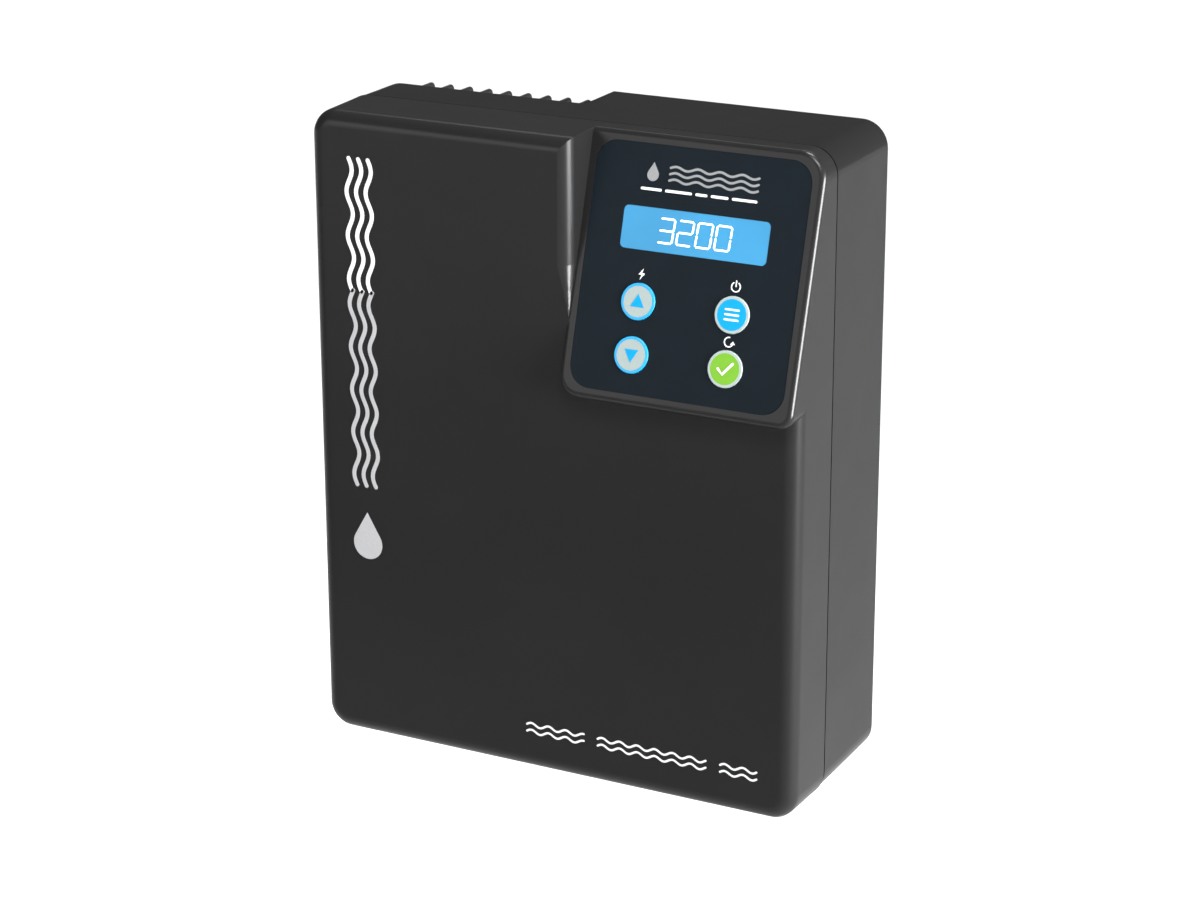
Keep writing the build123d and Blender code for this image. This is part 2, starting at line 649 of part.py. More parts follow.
def power_board_screws():
    return [pan_screw(x, POWER_FACE_Y, z, (0, 1, 0), 1.4, 9, 2.8, 2.2) for x, z in POWER_SCREWS]


def filter_capacitors():
    cans = []
    for x in (28, 56, 84):
        can = rod(x, POWER_FACE_Y, 124, (0, -1, 0), 12.5, 40)
        cans.append(fillet(can.edges().filter_by(GeomType.CIRCLE).sort_by(Axis.Y)[0], 1.5))
    return cans


def power_relays():
    return [upright(28, 16, 1, POWER_FACE_Y, POWER_FACE_Y - 25, x, 88) for x in (22, 56)]


def power_chips():
    return [upright(w, h, 0.5, POWER_FACE_Y, POWER_FACE_Y - 3, x, z)
            for x, z, w, h in [(20, 62, 18, 8), (50, 62, 10, 8), (50, 42, 8, 10)]]


FUSE = (20.0, 40.0)
FUSE_Y = POWER_FACE_Y - 6.0


def fuse_clips():
    x, z = FUSE
    clips = []
    for dx in (-8.5, 8.5):
        clip = box(x + dx - 2.5, x + dx + 2.5, FUSE_Y - 1, POWER_FACE_Y, z - 4, z + 4)
        clips.append(clip - rod(x + dx - 4, FUSE_Y, z, (1, 0, 0), 2.65, 8)
                     - box(x + dx - 4, x + dx + 4, FUSE_Y - 2, FUSE_Y, z - 2.65, z + 2.65))
    return clips


def board_fuse():
    x, z = FUSE
    return rod(x - 10, FUSE_Y, z, (1, 0, 0), 2.6, 20)


TERMINALS_X = [26.0 + 10.0 * i for i in range(7)]
TERMINAL_Z = 16.0
TERMINAL_T = 18.0


def terminal_block():
    width = 10.0 * len(TERMINALS_X)
    middle = sum(TERMINALS_X) / len(TERMINALS_X)
    block = upright(width, 14, 1, POWER_FACE_Y, POWER_FACE_Y - TERMINAL_T, middle, TERMINAL_Z)
    for x in TERMINALS_X:
        block -= rod(x, POWER_FACE_Y - TERMINAL_T - 1, TERMINAL_Z - 3, (0, 1, 0), 2.4, 9)
    return block


def terminal_screws():
    bottom = POWER_FACE_Y - TERMINAL_T + 8
    return [rod(x, bottom, TERMINAL_Z - 3, (0, -1, 0), 2.2, 5) for x in TERMINALS_X]


# Transformer

def toroidal_transformer():
    x, z = TOROID
    ring = rod(x, TOROID_BACK_Y, z, (0, -1, 0), TOROID_R, TOROID_H)
    ring = fillet(ring.edges().filter_by(GeomType.CIRCLE), 8)
    hole = rod(x, TOROID_BACK_Y + 1, z, (0, -1, 0), TOROID_HOLE_R, TOROID_H + 2)
    return ring - hole


def transformer_pads():
    x, z = TOROID
    pads = []
    for y in (TOROID_BACK_Y + 2, TOROID_BACK_Y - TOROID_H):
        pads.append(rod(x, y, z, (0, -1, 0), 44, 2) - rod(x, y + 1, z, (0, -1, 0), 6, 4))
    return pads


WASHER_Y = TOROID_BACK_Y - TOROID_H - 2.0
WASHER_T = 3.0


def transformer_washer():
    """Dished plate that clamps the transformer."""
    x, z = TOROID
    profile = Polyline((4.4, 0), (38, 0), (38, WASHER_T), (20, WASHER_T), (16, 1.6), (4.4, 1.6), close=True)
    dish = revolve(make_face(Plane.XZ * profile), Axis.Z)
    return Plane(origin=(x, WASHER_Y, z), z_dir=(0, -1, 0)) * dish


def transformer_bolt():
    x, z = TOROID
    seat = WASHER_Y - 1.6
    head = hexagon(x, seat, z, (0, -1, 0), 13, 5.3)
    return head + rod(x, seat, z, (0, 1, 0), 3.9, BACK_Y - WALL + 0.3 - seat)


def transformer_leads():
    """Secondary leads from the winding to the lower rectifier."""
    x, z = TOROID
    front = TOROID_BACK_Y - TOROID_H
    tab_y = SINK_FACE_Y - RECTIFIER_T - 8
    low = RECTIFIERS_Z[1] - 9
    leads = []
    for side, tab in ((-1, SINK_X - 9), (1, SINK_X + 9)):
        start_z = z + 4 * side
        first = (x - 46.5, front, start_z)
        points = [
            first,
            (x - 46.5, front - 12, start_z),
            (x - 62, front - 20 - 3 * side, start_z + 18),
            (x - 90, front - 20 - 3 * side, start_z + 46),
            (tab + 12, front - 15, low - 16),
            (tab, tab_y - 12, low),
            (tab, tab_y, low),
        ]
        leads.append(lead(points, 1.3))
    return leads


def output_leads():
    """Rectified leads from the upper rectifier to the terminal block."""
    tab_y = SINK_FACE_Y - RECTIFIER_T - 8
    high = RECTIFIERS_Z[0]
    block_y = POWER_FACE_Y - TERMINAL_T
    leads = []
    for dz, end_x in ((9, TERMINALS_X[1]), (-9, TERMINALS_X[0])):
        tab = SINK_X + 9
        drop = 5 if dz > 0 else 0
        points = [
            (tab, tab_y, high + dz),
            (tab, tab_y - 12 - drop, high + dz),
            (tab + 20, tab_y - 20 - drop, high + dz - 12),
            (tab + 52, tab_y - 20 - drop, high + dz - 40),
            (end_x - 14, block_y - 32 - drop, TERMINAL_Z + 20),
            (end_x, block_y - 14, TERMINAL_Z + 3.5),
            (end_x, block_y, TERMINAL_Z + 3.5),
        ]
        leads.append(lead(points, 1.3))
    return leads


# Cable glands, breaker and bonding stud, through the floor

GLAND_BODY_R = 9.3
GLAND_FLATS = 24.0
GLAND_COLLAR = 5.0
GLAND_THROAT_R = 6.3
GLAND_SEAL_TOP = BOTTOM_Z - 7.0
GLAND_SEAL_END = BOTTOM_Z - 19.0
GLAND_END = BOTTOM_Z - 21.7


def gland_body(place):
    body = rod(*place, BOTTOM_Z - 13, (0, 0, 1), GLAND_BODY_R, 25)
    body += hexagon(*place, BOTTOM_Z - GLAND_COLLAR, (0, 0, 1), GLAND_FLATS, GLAND_COLLAR)
    return body - rod(*place, BOTTOM_Z - 14, (0, 0, 1), GLAND_THROAT_R, 27)


def gland_locknut(place):
    nut = hexagon(*place, FLOOR_Z, (0, 0, 1), GLAND_FLATS, 5)
    return nut - rod(*place, FLOOR_Z - 1, (0, 0, 1), GLAND_BODY_R + 0.1, 7)


def gland_cap(place):
    top = BOTTOM_Z - GLAND_COLLAR - 0.5
    cap = rod(*place, GLAND_END, (0, 0, 1), 11.6, top - GLAND_END)
    cap = fillet(cap.faces().sort_by(Axis.Z)[0].edges(), 4)
    cap = cap & hexagon(*place, GLAND_END - 1, (0, 0, 1), 22.6, top - GLAND_END + 2)
    cap -= rod(*place, BOTTOM_Z - 13.3, (0, 0, 1), GLAND_BODY_R + 0.1, 20)
    cap -= rod(*place, GLAND_SEAL_END, (0, 0, 1), GLAND_THROAT_R, 10)
    return cap - rod(*place, GLAND_END - 1, (0, 0, 1), 5.6, 10)


def gland_seal(place, bore):
    length = GLAND_SEAL_TOP - GLAND_SEAL_END
    seal = rod(*place, GLAND_SEAL_END, (0, 0, 1), GLAND_THROAT_R - 0.05, length)
    return seal - rod(*place, GLAND_SEAL_END - 1, (0, 0, 1), bore, length + 2)


def breaker_body():
    x, y = BREAKER
    body = box(x - 16, x + 16, y - 7, y + 7, FLOOR_Z, FLOOR_Z + 22)
    body += rod(x, y, BOTTOM_Z - 8, (0, 0, 1), 5.5, 12)
    return body - rod(x, y, BOTTOM_Z - 9, (0, 0, 1), 3.4, 18)


def breaker_nut():
    x, y = BREAKER
    nut = hexagon(x, y, BOTTOM_Z - 3, (0, 0, 1), 16, 3)
    return nut - rod(x, y, BOTTOM_Z - 4, (0, 0, 1), 5.6, 5)


def breaker_button():
    x, y = BREAKER
    button = rod(x, y, BOTTOM_Z - 11, (0, 0, 1), 3.2, 12)
    return fillet(button.faces().sort_by(Axis.Z)[0].edges(), 0.8)


def bonding_stud():
    x, y = BOND_STUD
    head = hexagon(x, y, FLOOR_Z, (0, 0, 1), 8, 3.5)
    return head + rod(x, y, BOTTOM_Z - 15, (0, 0, 1), 2.45, 15 + WALL)


def bonding_nuts():
    x, y = BOND_STUD
    nuts = []
    for top in (0, -8):
        nut = hexagon(x, y, BOTTOM_Z + top - 4, (0, 0, 1), 8, 4)
        nuts.append(nut - rod(x, y, BOTTOM_Z + top - 5, (0, 0, 1), 2.55, 6))
    washer = rod(x, y, BOTTOM_Z - 5, (0, 0, 1), 5, 1) - rod(x, y, BOTTOM_Z - 6, (0, 0, 1), 2.65, 3)
    return nuts + [washer]


def main():
    parts = {
        "front_cover": front_cover(),
        "rear_housing": rear_housing(),
        "cover_gasket": cover_gasket(),
        "cover_screws": cover_screws(),
        "cover_screw_seals": cover_screw_seals(),
        "heatsink": heatsink(),
        "heatsink_gasket": heatsink_gasket(),
        "heatsink_screws": heatsink_screws(),
        "bridge_rectifiers": bridge_rectifiers(),
        "rectifier_screws": rectifier_screws(),
        "wall_bracket": wall_bracket(),
        "locking_screw": locking_screw(),
        "wall_bumpers": wall_bumpers(),
        "keypad_overlay": keypad_overlay(),
        "display_lens": display_lens(),
        "display_glass": display_glass(),
        "display_backlight": display_backlight(),
        "display_frame": display_frame(),
        "control_board": control_board(),
        "control_board_screws": control_board_screws(),
        "control_chips": control_chips(),
        "switch_bodies": switch_bodies(),
        "ribbon_connectors": ribbon_connectors(),
        "ribbon_cable": ribbon_cable(),
        "power_board": power_board(),
        "power_board_screws": power_board_screws(),
        "filter_capacitors": filter_capacitors(),
        "power_relays": power_relays(),
        "power_chips": power_chips(),
        "fuse_clips": fuse_clips(),
        "board_fuse": board_fuse(),
        "terminal_block": terminal_block(),
        "terminal_screws": terminal_screws(),
        "toroidal_transformer": toroidal_transformer(),
        "transformer_pads": transformer_pads(),
        "transformer_washer": transformer_washer(),
        "transformer_bolt": transformer_bolt(),
        "transformer_leads": transformer_leads(),
        "output_leads": output_leads(),
        "breaker_body": breaker_body(),
        "breaker_nut": breaker_nut(),
        "breaker_button": breaker_button(),
        "bonding_stud": bonding_stud(),
        "bonding_nuts": bonding_nuts(),
    }
    for name in KEYS:
        parts["key_" + name] = key(name)
        parts["switch_plunger_" + name] = switch_plunger(name)
    for name, place, bore in (
        ("mains_gland", MAINS_GLAND, MAINS_BORE_R),
        ("cell_gland", CELL_GLAND, CELL_BORE_R),
    ):
        parts[name + "_body"] = gland_body(place)
        parts[name + "_locknut"] = gland_locknut(place)
        parts[name + "_cap"] = gland_cap(place)
        parts[name + "_seal"] = gland_seal(place, bore)

    os.makedirs("parts", exist_ok=True)
    for name, made in parts.items():
        shape = Compound(children=list(made)) if isinstance(made, list) else made
        export_step(shape, f"parts/{name}.step")


main()
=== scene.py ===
"""Looks of the wall-hung salt chlorine generator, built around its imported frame. Metres, +Z up."""

import json
from collections import Counter
from math import asin, atan2, cos, pi, radians, sin

import bmesh
import bpy
from mathutils import Matrix, Vector


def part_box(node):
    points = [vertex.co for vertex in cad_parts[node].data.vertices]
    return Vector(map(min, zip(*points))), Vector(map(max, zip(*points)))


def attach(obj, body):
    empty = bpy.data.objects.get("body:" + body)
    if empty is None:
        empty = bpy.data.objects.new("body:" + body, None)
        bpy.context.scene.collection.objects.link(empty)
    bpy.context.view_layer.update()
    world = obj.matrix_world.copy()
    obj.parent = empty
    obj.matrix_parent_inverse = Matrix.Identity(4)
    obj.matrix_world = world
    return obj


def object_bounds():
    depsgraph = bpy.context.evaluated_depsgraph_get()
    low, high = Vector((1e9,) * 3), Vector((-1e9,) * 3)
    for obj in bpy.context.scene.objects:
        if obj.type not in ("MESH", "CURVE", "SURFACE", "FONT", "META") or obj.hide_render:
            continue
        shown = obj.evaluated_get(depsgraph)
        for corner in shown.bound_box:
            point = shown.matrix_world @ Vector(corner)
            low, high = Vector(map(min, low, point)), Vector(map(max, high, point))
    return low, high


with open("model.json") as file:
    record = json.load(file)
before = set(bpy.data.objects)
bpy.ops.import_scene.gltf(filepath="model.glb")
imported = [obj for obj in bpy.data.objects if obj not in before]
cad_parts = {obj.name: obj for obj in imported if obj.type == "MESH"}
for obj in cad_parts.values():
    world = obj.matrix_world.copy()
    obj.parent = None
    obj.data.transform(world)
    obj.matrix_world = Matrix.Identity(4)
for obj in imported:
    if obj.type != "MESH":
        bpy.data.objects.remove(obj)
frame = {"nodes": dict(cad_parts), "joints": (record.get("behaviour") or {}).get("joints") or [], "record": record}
cad_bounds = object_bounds()
nodes = frame["nodes"]

MM = 0.001
LEVEL_DIGITS = 5           # faces within 0.01 mm of each other count as one level
PRINT_RISE = 0.06 * MM     # how far printed ink stands out of a surface
PRINT_SINK = 0.03 * MM     # how far it is let into that surface
PEN_END_STEPS = 8          # in the round end of a stroke
DROPLET_STEPS = 28         # in the round part of a drop

# Colours, linear
CHARCOAL = (0.0088, 0.0088, 0.0090)
# Same charcoal plastic as the cover, made darker all over as painted shade so that the rear housing's top reads
# darker than the cover's
CHARCOAL_REAR_SHADED = (0.0072, 0.0072, 0.0074)
OVERLAY = (0.0055, 0.0085, 0.0115)
LCD_BLUE = (0.036, 0.285, 0.545)
SEGMENT_WHITE = (0.93, 0.97, 1.0)
KEY_BLUE = (0.0, 0.230, 0.500)
KEY_GREY = (0.25, 0.295, 0.285)
KEY_GREEN = (0.125, 0.300, 0.022)
INK_WHITE = (0.70, 0.70, 0.70)
INK_GREY = (0.36, 0.36, 0.37)
INK_SILVER = (0.20, 0.205, 0.21)


# Geometry read from the frame

def face_level(node, direction):
    """How far along a direction the node's largest flat face that looks that way lies."""
    nearly_parallel = 0.999
    direction = Vector(direction).normalized()
    areas = Counter()
    for polygon in nodes[node].data.polygons:
        if polygon.normal.dot(direction) > nearly_parallel:
            areas[round(polygon.center.dot(direction), LEVEL_DIGITS)] += polygon.area
    return areas.most_common(1)[0][0]


class Sheet:
    """A flat working frame on a surface: origin, right, up and outward normal."""

    def __init__(self, origin, right, normal):
        self.origin = Vector(origin)
        self.right = Vector(right).normalized()
        self.normal = Vector(normal).normalized()
        self.up = self.normal.cross(self.right)

    def point(self, u, v, height):
        """The place in space of a point on the sheet."""
        return self.origin + self.right * u + self.up * v + self.normal * height

    def flat(self, spot):
        """A place in space as (u, v, height)."""
        away = Vector(spot) - self.origin
        return away.dot(self.right), away.dot(self.up), away.dot(self.normal)

    def span(self, node):
        """Lowest and highest (u, v, height) of a node's points."""
        spots = [self.flat(v.co) for v in nodes[node].data.vertices]
        rows = list(zip(*spots))
        return [min(row) for row in rows], [max(row) for row in rows]

    def level(self, node):
        """The same frame raised to the node's own outermost level."""
        _, high = self.span(node)
        return Sheet(self.point(0, 0, high[2]), self.right, self.normal)


press = next(j for j in frame["joints"] if j["name"] == "up_key_press")
bezel_out = -Vector(press["axis"])
overlay_low, overlay_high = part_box("keypad_overlay")
bezel = Sheet((overlay_low + overlay_high) / 2, (1, 0, 0), bezel_out)
front_y = -face_level("front_cover", (0, -1, 0))
cover_low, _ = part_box("front_cover")
face = Sheet((0, front_y, 0), (1, 0, 0), (0, -1, 0))


# Mesh code

def mesh_object(name, bm, material, body):
    """Turns the mesh being built into a piece of that material, riding on a body."""
    mesh = bpy.data.meshes.new(name)
    bmesh.ops.recalc_face_normals(bm, faces=bm.faces)
    bm.to_mesh(mesh)
    bm.free()
    mesh.materials.append(material)
    piece = bpy.data.objects.new(name, mesh)
    bpy.context.scene.collection.objects.link(piece)
    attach(piece, body)


def slab(bm, sheet, outline):
    """Adds a thin plate with that outline, given as (u, v) points, standing on the sheet."""
    low = [bm.verts.new(sheet.point(u, v, -PRINT_SINK)) for u, v in outline]
    high = [bm.verts.new(sheet.point(u, v, PRINT_RISE)) for u, v in outline]
    bm.faces.new(low)
    bm.faces.new(high)
    for i in range(len(outline)):
        j = (i + 1) % len(outline)
        bm.faces.new((low[i], low[j], high[j], high[i]))


def arc(u, v, radius, start, end, steps):
    """Points along an arc about (u, v), both ends included."""
    angles = [start + (end - start) * i / steps for i in range(steps + 1)]
    return [(u + radius * cos(a), v + radius * sin(a)) for a in angles]


def stroke(bm, sheet, points, width):
    """Adds a line of even width along (u, v) points, with round ends."""
    left, right = [], []
    for i, (u, v) in enumerate(points):
        before = points[max(i - 1, 0)]
        after = points[min(i + 1, len(points) - 1)]
        along = Vector((after[0] - before[0], after[1] - before[1])).normalized()
        side = Vector((-along.y, along.x)) * width / 2
        left.append((u + side.x, v + side.y))
        right.append((u - side.x, v - side.y))
    first = Vector(points[0]) - Vector(points[1])
    last = Vector(points[-1]) - Vector(points[-2])
    start = atan2(first.y, first.x)
    end = atan2(last.y, last.x)
    tail = arc(*points[0], width / 2, start - pi / 2, start + pi / 2, PEN_END_STEPS)[1:-1]
    nose = arc(*points[-1], width / 2, end - pi / 2, end + pi / 2, PEN_END_STEPS)[1:-1]
    slab(bm, sheet, right + nose + left[::-1] + tail)


def wave(u0, u1, v, height, length, steps):
    """Sine line from u0 to u1, with so many steps in each wavelength."""
    count = int((u1 - u0) / length * steps)
    places = [(u1 - u0) * i / count for i in range(count + 1)]
    return [(u0 + place, v + height * sin(2 * pi * place / length)) for place in places]


def droplet(u, v, radius):
    """Water drop outline, round below and pointed above."""
    tip = 2.0 * radius
    touch = asin(radius / tip)    # where the straight sides meet the round
    return arc(u, v, radius, touch, -pi - touch, DROPLET_STEPS) + [(u, v + tip)]


# Materials

NOISE_LOW, NOISE_HIGH = 0.3, 0.7    # nearly all of a noise's values lie between these


def shader(name, color, roughness, metallic=0.0, coat=0.0, specular=0.5, gloss=0.12):
    """A material, its nodes and its shader node; gloss is the roughness of its coat."""
    material = bpy.data.materials.new(name)
    material.use_nodes = True
    bsdf = material.node_tree.nodes["Principled BSDF"]
    bsdf.inputs["Base Color"].default_value = (*color, 1)
    bsdf.inputs["Roughness"].default_value = roughness
    bsdf.inputs["Metallic"].default_value = metallic
    bsdf.inputs["Coat Weight"].default_value = coat
    bsdf.inputs["Coat Roughness"].default_value = gloss
    bsdf.inputs["Specular IOR Level"].default_value = specular
    return material, material.node_tree, bsdf


def noise(tree, scale, detail, stretch=None):
    """Noise in the object's own metres, so that its scale is cycles per metre."""
    coordinates = tree.nodes.new("ShaderNodeTexCoord")
    texture = tree.nodes.new("ShaderNodeTexNoise")
    texture.inputs["Scale"].default_value = scale
    texture.inputs["Detail"].default_value = detail
    source = coordinates.outputs["Object"]
    if stretch:
        mapping = tree.nodes.new("ShaderNodeMapping")
        mapping.inputs["Scale"].default_value = stretch
        tree.links.new(source, mapping.inputs["Vector"])
        source = mapping.outputs["Vector"]
    tree.links.new(source, texture.inputs["Vector"])
    return texture.outputs["Fac"]


def spread(tree, source, low, high):
    """Turns noise into a value between two limits."""
    limits = tree.nodes.new("ShaderNodeMapRange")
    limits.inputs["From Min"].default_value = NOISE_LOW
    limits.inputs["From Max"].default_value = NOISE_HIGH
    limits.inputs["To Min"].default_value = low
    limits.inputs["To Max"].default_value = high
    tree.links.new(source, limits.inputs["Value"])
    return limits.outputs["Result"]


def tint(tree, bsdf, source, dark, light):
    """Colour that drifts between two shades."""
    mix = tree.nodes.new("ShaderNodeMix")
    mix.data_type = "RGBA"
    mix.inputs["A"].default_value = (*dark, 1)
    mix.inputs["B"].default_value = (*light, 1)
    tree.links.new(spread(tree, source, 0, 1), mix.inputs["Factor"])
    tree.links.new(mix.outputs["Result"], bsdf.inputs["Base Color"])
    return mix


def bump(tree, bsdf, source, depth, strength):
    """Relief of that depth in metres, on top of any relief already there."""
    node = tree.nodes.new("ShaderNodeBump")
    node.inputs["Strength"].default_value = strength
    node.inputs["Distance"].default_value = depth
    tree.links.new(source, node.inputs["Height"])
    previous = bsdf.inputs["Normal"].links
    if previous:
        tree.links.new(previous[0].from_socket, node.inputs["Normal"])
    tree.links.new(node.outputs["Normal"], bsdf.inputs["Normal"])


def scaled(color, factor):
    """The same colour, lighter or darker."""
    return tuple(c * factor for c in color)


def moulded(name, color, roughness=0.42, grain=0.05, coat=0.0, specular=0.5, gloss=0.12):
    """Spark-eroded moulded plastic: fine grain, slight flow mottle and uneven roughness."""
    material, tree, bsdf = shader(name, color, roughness, coat=coat, specular=specular, gloss=gloss)
    tint(tree, bsdf, noise(tree, 14, 4), scaled(color, 0.94), scaled(color, 1.06))
    rough = spread(tree, noise(tree, 22, 5), roughness - 0.03, roughness + 0.03)
    tree.links.new(rough, bsdf.inputs["Roughness"])
    bump(tree, bsdf, noise(tree, 1700, 2), grain * MM, 0.35)
    bump(tree, bsdf, noise(tree, 40, 2), 0.03 * MM, 0.2)
    return material


def ink(name, color, glow=0.0):
    """Screen-printed ink, slightly uneven."""
    material, tree, bsdf = shader(name, color, 0.45, specular=0.15)
    tint(tree, bsdf, noise(tree, 900, 2), scaled(color, 0.94), color)
    bump(tree, bsdf, noise(tree, 2600, 2), 0.01 * MM, 0.3)
    if glow:
        bsdf.inputs["Emission Color"].default_value = (*color, 1)
        bsdf.inputs["Emission Strength"].default_value = glow
    return material


def film(name, color):
    """Textured polyester keypad film."""
    material, tree, bsdf = shader(name, color, 0.34, specular=0.03)
    tint(tree, bsdf, noise(tree, 60, 3), scaled(color, 0.94), scaled(color, 1.06))
    texture = noise(tree, 3200, 1)
    tree.links.new(spread(tree, texture, 0.28, 0.38), bsdf.inputs["Roughness"])
    bump(tree, bsdf, texture, 0.012 * MM, 0.4)
    return material


def metal(name, color, roughness, direction=(1, 1, 1), metallic=1.0):
    """Metal with a fine drawn or blasted finish and faint handling marks."""
    material, tree, bsdf = shader(name, color, roughness, metallic=metallic)
    tint(tree, bsdf, noise(tree, 90, 4), scaled(color, 0.85), scaled(color, 1.08))
    lines = noise(tree, 900, 3, stretch=direction)
    rough = spread(tree, lines, roughness - 0.08, roughness + 0.08)
    tree.links.new(rough, bsdf.inputs["Roughness"])
    bump(tree, bsdf, lines, 0.02 * MM, 0.35)
    return material


def powder_coat(name, color):
    """Powder coat with its orange-peel surface."""
    material, tree, bsdf = shader(name, color, 0.5)
    tint(tree, bsdf, noise(tree, 30, 3), scaled(color, 0.88), scaled(color, 1.12))
    bump(tree, bsdf, noise(tree, 520, 2), 0.05 * MM, 0.5)
    return material


def rubber(name, color, specular=0.35):
    """Matt rubber or soft cable jacket, mottled."""
    material, tree, bsdf = shader(name, color, 0.7, specular=specular)
    tint(tree, bsdf, noise(tree, 120, 3), scaled(color, 0.8), scaled(color, 1.3))
    bump(tree, bsdf, noise(tree, 1500, 2), 0.03 * MM, 0.4)
    return material


def lit_window(name, color):
    """Backlit display: a nearly even glow under gloss."""
    material, tree, bsdf = shader(name, scaled(color, 0.5), 0.16, specular=0.2)
    glow = tint(tree, bsdf, noise(tree, 35, 1), scaled(color, 0.47), scaled(color, 0.53))
    tree.links.new(glow.outputs["Result"], bsdf.inputs["Emission Color"])
    bsdf.inputs["Emission Strength"].default_value = 0.58
    return material


def wound_tape(name, color):
    """Overlapping polyester tape round a ring winding."""
    material, tree, bsdf = shader(name, color, 0.35)
    turns = noise(tree, 300, 2, stretch=(1, 0.1, 1))
    tint(tree, bsdf, turns, scaled(color, 0.7), scaled(color, 1.15))
    bump(tree, bsdf, turns, 0.1 * MM, 0.5)
    return material


MATERIALS = {
    "cover_plastic": moulded("charcoal_cover", CHARCOAL,
                             0.50, grain=0.03, coat=0.34, specular=0.02, gloss=0.24),
    # Housing charcoal: a darker copy of the cover's, painted shade for the housing's top
    "housing_plastic": moulded("charcoal_housing_shaded", CHARCOAL_REAR_SHADED,
                               0.50, grain=0.03, coat=0.30, specular=0.02, gloss=0.14),
    # Black rubber for gaskets and pads, made darker than rubber is as painted shade for the seam between cover and
    # housing
    "soft_rubber": rubber("black_rubber_seam_shade", (0.005, 0.005, 0.005), specular=0.12),
    "heatsink_metal": metal("black_anodised", (0.016, 0.016, 0.017), 0.42,
                            direction=(1, 1, 0.03), metallic=0.35),
    "bracket_steel": powder_coat("charcoal_powder", (0.035, 0.035, 0.036)),
    "zinc_steel": metal("zinc_plate", (0.62, 0.61, 0.58), 0.34),
    "overlay_film": film("keypad_film", OVERLAY),
    "display_blue": lit_window("display_lit", LCD_BLUE),
    "backlight_white": moulded("light_guide", (0.80, 0.82, 0.84), 0.3),
    "frame_steel": powder_coat("display_frame_black", (0.02, 0.02, 0.02)),
    "key_grey": moulded("key_light_grey", KEY_GREY, 0.34, grain=0.01),
    "key_blue": moulded("key_bright_blue", KEY_BLUE, 0.34, grain=0.01),
    "switch_black": moulded("switch_black", (0.02, 0.02, 0.02), 0.45),
    "board_green": moulded("solder_mask", (0.015, 0.12, 0.05), 0.28, grain=0.02),
    "chip_black": moulded("chip_epoxy", (0.02, 0.02, 0.022), 0.5),
    "connector_white": moulded("nylon_header", (0.70, 0.67, 0.58), 0.45),
    "ribbon_grey": moulded("ribbon_insulation", (0.36, 0.37, 0.39), 0.5),
    "capacitor_sleeve": moulded("capacitor_sleeve", (0.015, 0.022, 0.06), 0.25),
    "relay_blue": moulded("relay_cover", (0.04, 0.13, 0.38), 0.3),
    "clip_brass": metal("tinned_brass", (0.74, 0.60, 0.30), 0.3),
    "fuse_glass": moulded("fuse_tube", (0.72, 0.75, 0.75), 0.12, grain=0.0),
    "terminal_green": moulded("terminal_green", (0.04, 0.27, 0.10), 0.4),
    "winding_tape": wound_tape("winding_tape", (0.60, 0.38, 0.08)),
    "rectifier_black": moulded("rectifier_epoxy", (0.02, 0.02, 0.02), 0.5),
    "lead_red": rubber("lead_red", (0.42, 0.02, 0.02)),
    "lead_black": rubber("lead_black", (0.02, 0.02, 0.02)),
    "gland_nylon": moulded("gland_nylon", (0.018, 0.018, 0.019), 0.36),
    "button_white": moulded("button_white", (0.74, 0.74, 0.70), 0.35),
}
INKS = {
    "white": ink("ink_white", INK_WHITE),
    "grey": ink("ink_grey", INK_GREY),
    "silver": ink("ink_silver", INK_SILVER),
    "pale": ink("ink_pale", KEY_GREY),
    "blue": ink("ink_blue", KEY_BLUE),
    "green": ink("ink_green", KEY_GREEN),
    "segment": ink("segment_white", SEGMENT_WHITE, glow=0.9),
}

for entry in frame["record"]["subparts"]:
    node = nodes[entry["node"]]
    node.data.materials.clear()
    node.data.materials.append(MATERIALS[entry["material_slot"]])


# Printed graphics

FIGURES = "3200"
FIGURE_HEIGHT = 0.56       # of the display window's height
FIGURE_WIDTH = 0.66        # of a figure's height, as are the next three
FIGURE_PITCH = 0.86
FIGURE_PEN = 0.078
FIGURE_GAP = 0.7           # of the pen, at each end of a segment
FIGURE_SLANT = 0.05
LIT = {"0": "abcdef", "2": "abged", "3": "abgcd"}
SEGMENTS = {
    "a": ((-1, 2), (1, 2)), "g": ((-1, 0), (1, 0)), "d": ((-1, -2), (1, -2)),
    "f": ((-1, 2), (-1, 0)), "b": ((1, 2), (1, 0)),
    "e": ((-1, 0), (-1, -2)), "c": ((1, 0), (1, -2)),
}


